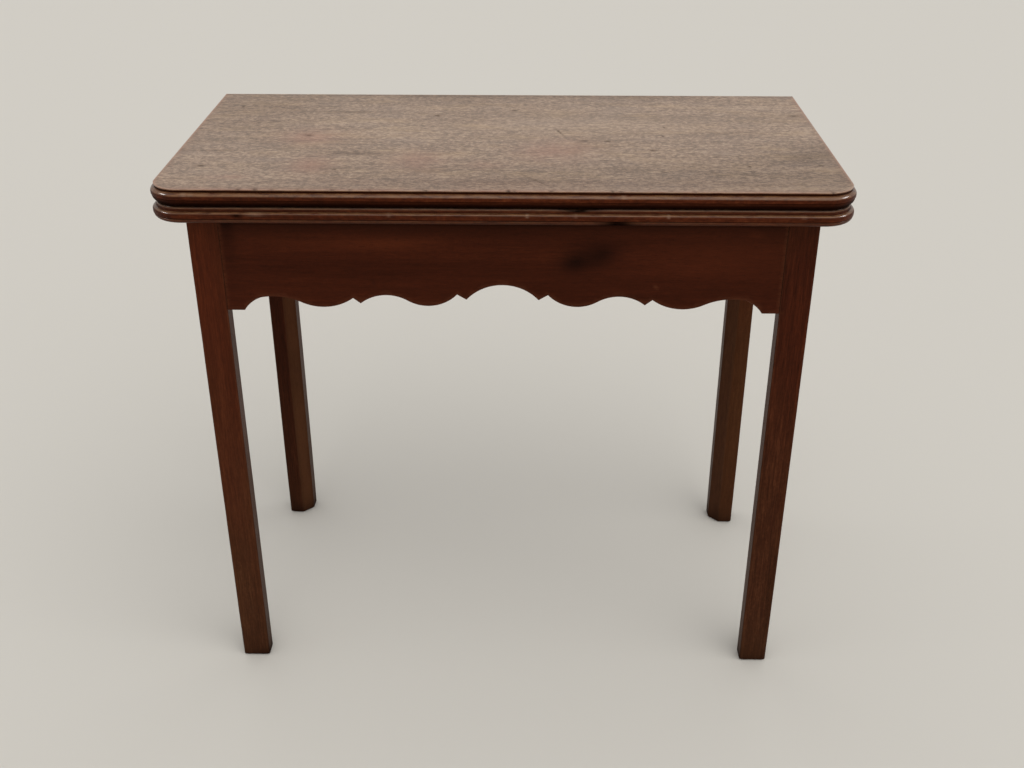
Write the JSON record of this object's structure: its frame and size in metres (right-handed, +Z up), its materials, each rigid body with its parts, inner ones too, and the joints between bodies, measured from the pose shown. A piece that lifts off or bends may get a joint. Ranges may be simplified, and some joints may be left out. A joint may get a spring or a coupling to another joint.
{
  "type": "fold-over tea table",
  "caption": "Wooden side table with a fold-over moulded top, a scalloped front apron, square legs chamfered inside, and a gate leg that swings out to carry the open leaf.",
  "frame": {"origin": "on the floor, under the middle of the standing table's bounding box", "axes": "+X to the right seen from the front, +Y to the back, +Z up"},
  "size_m": [0.838, 0.4424, 0.7274],
  "materials": {
    "mahogany_top": "old waxed mahogany, satin, faded greyish brown on the flat and red-brown on the moulding",
    "mahogany_frame": "old waxed mahogany, dark red-brown, satin",
    "secondary_wood": "bare oak, dry and darkened by age",
    "hinge_brass": "tarnished brass, satin",
    "dark_iron": "dark wrought iron"
  },
  "bodies": {
    "frame": {"lower_leaf": "mahogany_top", "front_apron": "mahogany_frame", "left_side_rail": "mahogany_frame", "right_side_rail": "mahogany_frame", "rear_inner_rail": "secondary_wood", "fixed_knuckle_rail": "secondary_wood", "knuckle_pin": "dark_iron", "front_left_leg": "mahogany_frame", "front_right_leg": "mahogany_frame", "rear_right_leg": "mahogany_frame", "left_hinge_lower_plate": "hinge_brass", "left_hinge_pin": "hinge_brass", "right_hinge_lower_plate": "hinge_brass", "right_hinge_pin": "hinge_brass", "lower_hinge_screws": "dark_iron", "top_fixing_screws": "dark_iron", "knuckle_rail_screws": "dark_iron", "glue_blocks": "secondary_wood"},
    "leaf": {"upper_leaf": "mahogany_top", "left_hinge_upper_plate": "hinge_brass", "right_hinge_upper_plate": "hinge_brass", "upper_hinge_screws": "dark_iron"},
    "gate": {"fly_rail": "secondary_wood", "gate_leg": "mahogany_frame"}
  },
  "joints": [
    {"name": "leaf_fold", "type": "hinge", "parent": "frame", "child": "leaf", "pos_m": [0, 0.20279, 0.7067], "axis": [-1, 0, 0], "range_deg": [0, 180]},
    {"name": "gate_swing", "type": "hinge", "parent": "frame", "child": "gate", "pos_m": [0, 0.17729, 0.636], "axis": [0, 0, -1], "range_deg": [-2.8, 87.2]}
  ]
}
